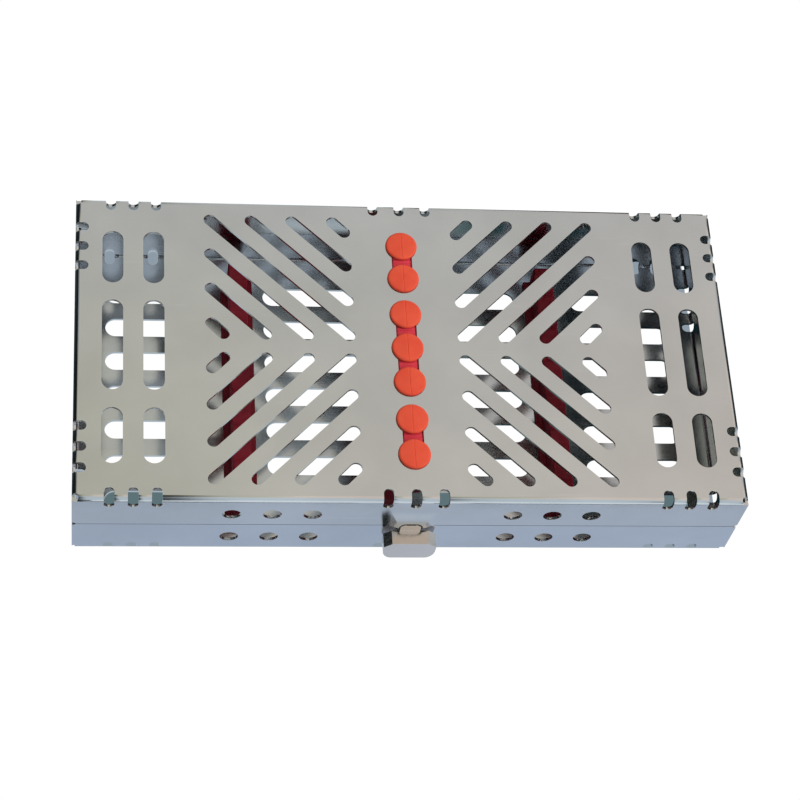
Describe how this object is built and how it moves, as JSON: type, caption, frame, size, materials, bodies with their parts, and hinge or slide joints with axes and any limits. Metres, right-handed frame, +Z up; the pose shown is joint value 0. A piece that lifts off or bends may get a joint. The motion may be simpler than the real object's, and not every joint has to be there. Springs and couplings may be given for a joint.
{
  "type": "dental instrument cassette",
  "caption": "Perforated stainless steel cassette with a hinged lid, push-button latch and grooved silicone rails, which holds dental hand instruments through sterilisation.",
  "frame": {"origin": "centre of the footprint, button and hinges included, on the surface that the silicone heads rest on", "axes": "+X along the length to the right, +Y to the rear (the hinge side), +Z up through the lid"},
  "size_m": [0.18, 0.1014, 0.031],
  "materials": {
    "lid_steel": "satin stainless sheet, slightly warm",
    "tray_steel": "satin stainless sheet",
    "hinge_steel": "rolled and tumbled stainless strip",
    "pin_steel": "drawn stainless wire with upset heads",
    "rivet_steel": "polished stainless rivet",
    "latch_steel": "stamped stainless strip",
    "spring_steel": "hard-rolled stainless spring strip",
    "button_steel": "polished stainless block",
    "silicone": "matte moulded silicone, red-orange"
  },
  "bodies": {
    "base": {"base_tray": "tray_steel", "left_rail": "silicone", "right_rail": "silicone", "left_base_hinge_leaf": "hinge_steel", "right_base_hinge_leaf": "hinge_steel", "left_hinge_pin": "pin_steel", "right_hinge_pin": "pin_steel", "base_hinge_rivets": "rivet_steel", "latch_bracket": "latch_steel", "latch_pin": "pin_steel", "latch_spring": "spring_steel", "latch_rivets": "rivet_steel"},
    "lid": {"lid_shell": "lid_steel", "lid_strip": "silicone", "left_lid_hinge_leaf": "hinge_steel", "right_lid_hinge_leaf": "hinge_steel", "lid_hinge_rivets": "rivet_steel", "lid_catch": "latch_steel"},
    "latch": {"latch_lever": "latch_steel", "thumb_button": "button_steel", "button_rivet": "rivet_steel"}
  },
  "joints": [
    {"name": "lid_hinge", "type": "hinge", "parent": "base", "child": "lid", "pos_m": [0, 0.04915, 0.0155], "axis": [-1, 0, 0], "range_deg": [0, 180]},
    {"name": "latch_press", "type": "hinge", "parent": "base", "child": "latch", "pos_m": [0, -0.04155, 0.0046], "axis": [-1, 0, 0], "range_deg": [0, 4.5], "stiffness_Nm_per_rad": 0.4, "springref_deg": -2.29}
  ]
}
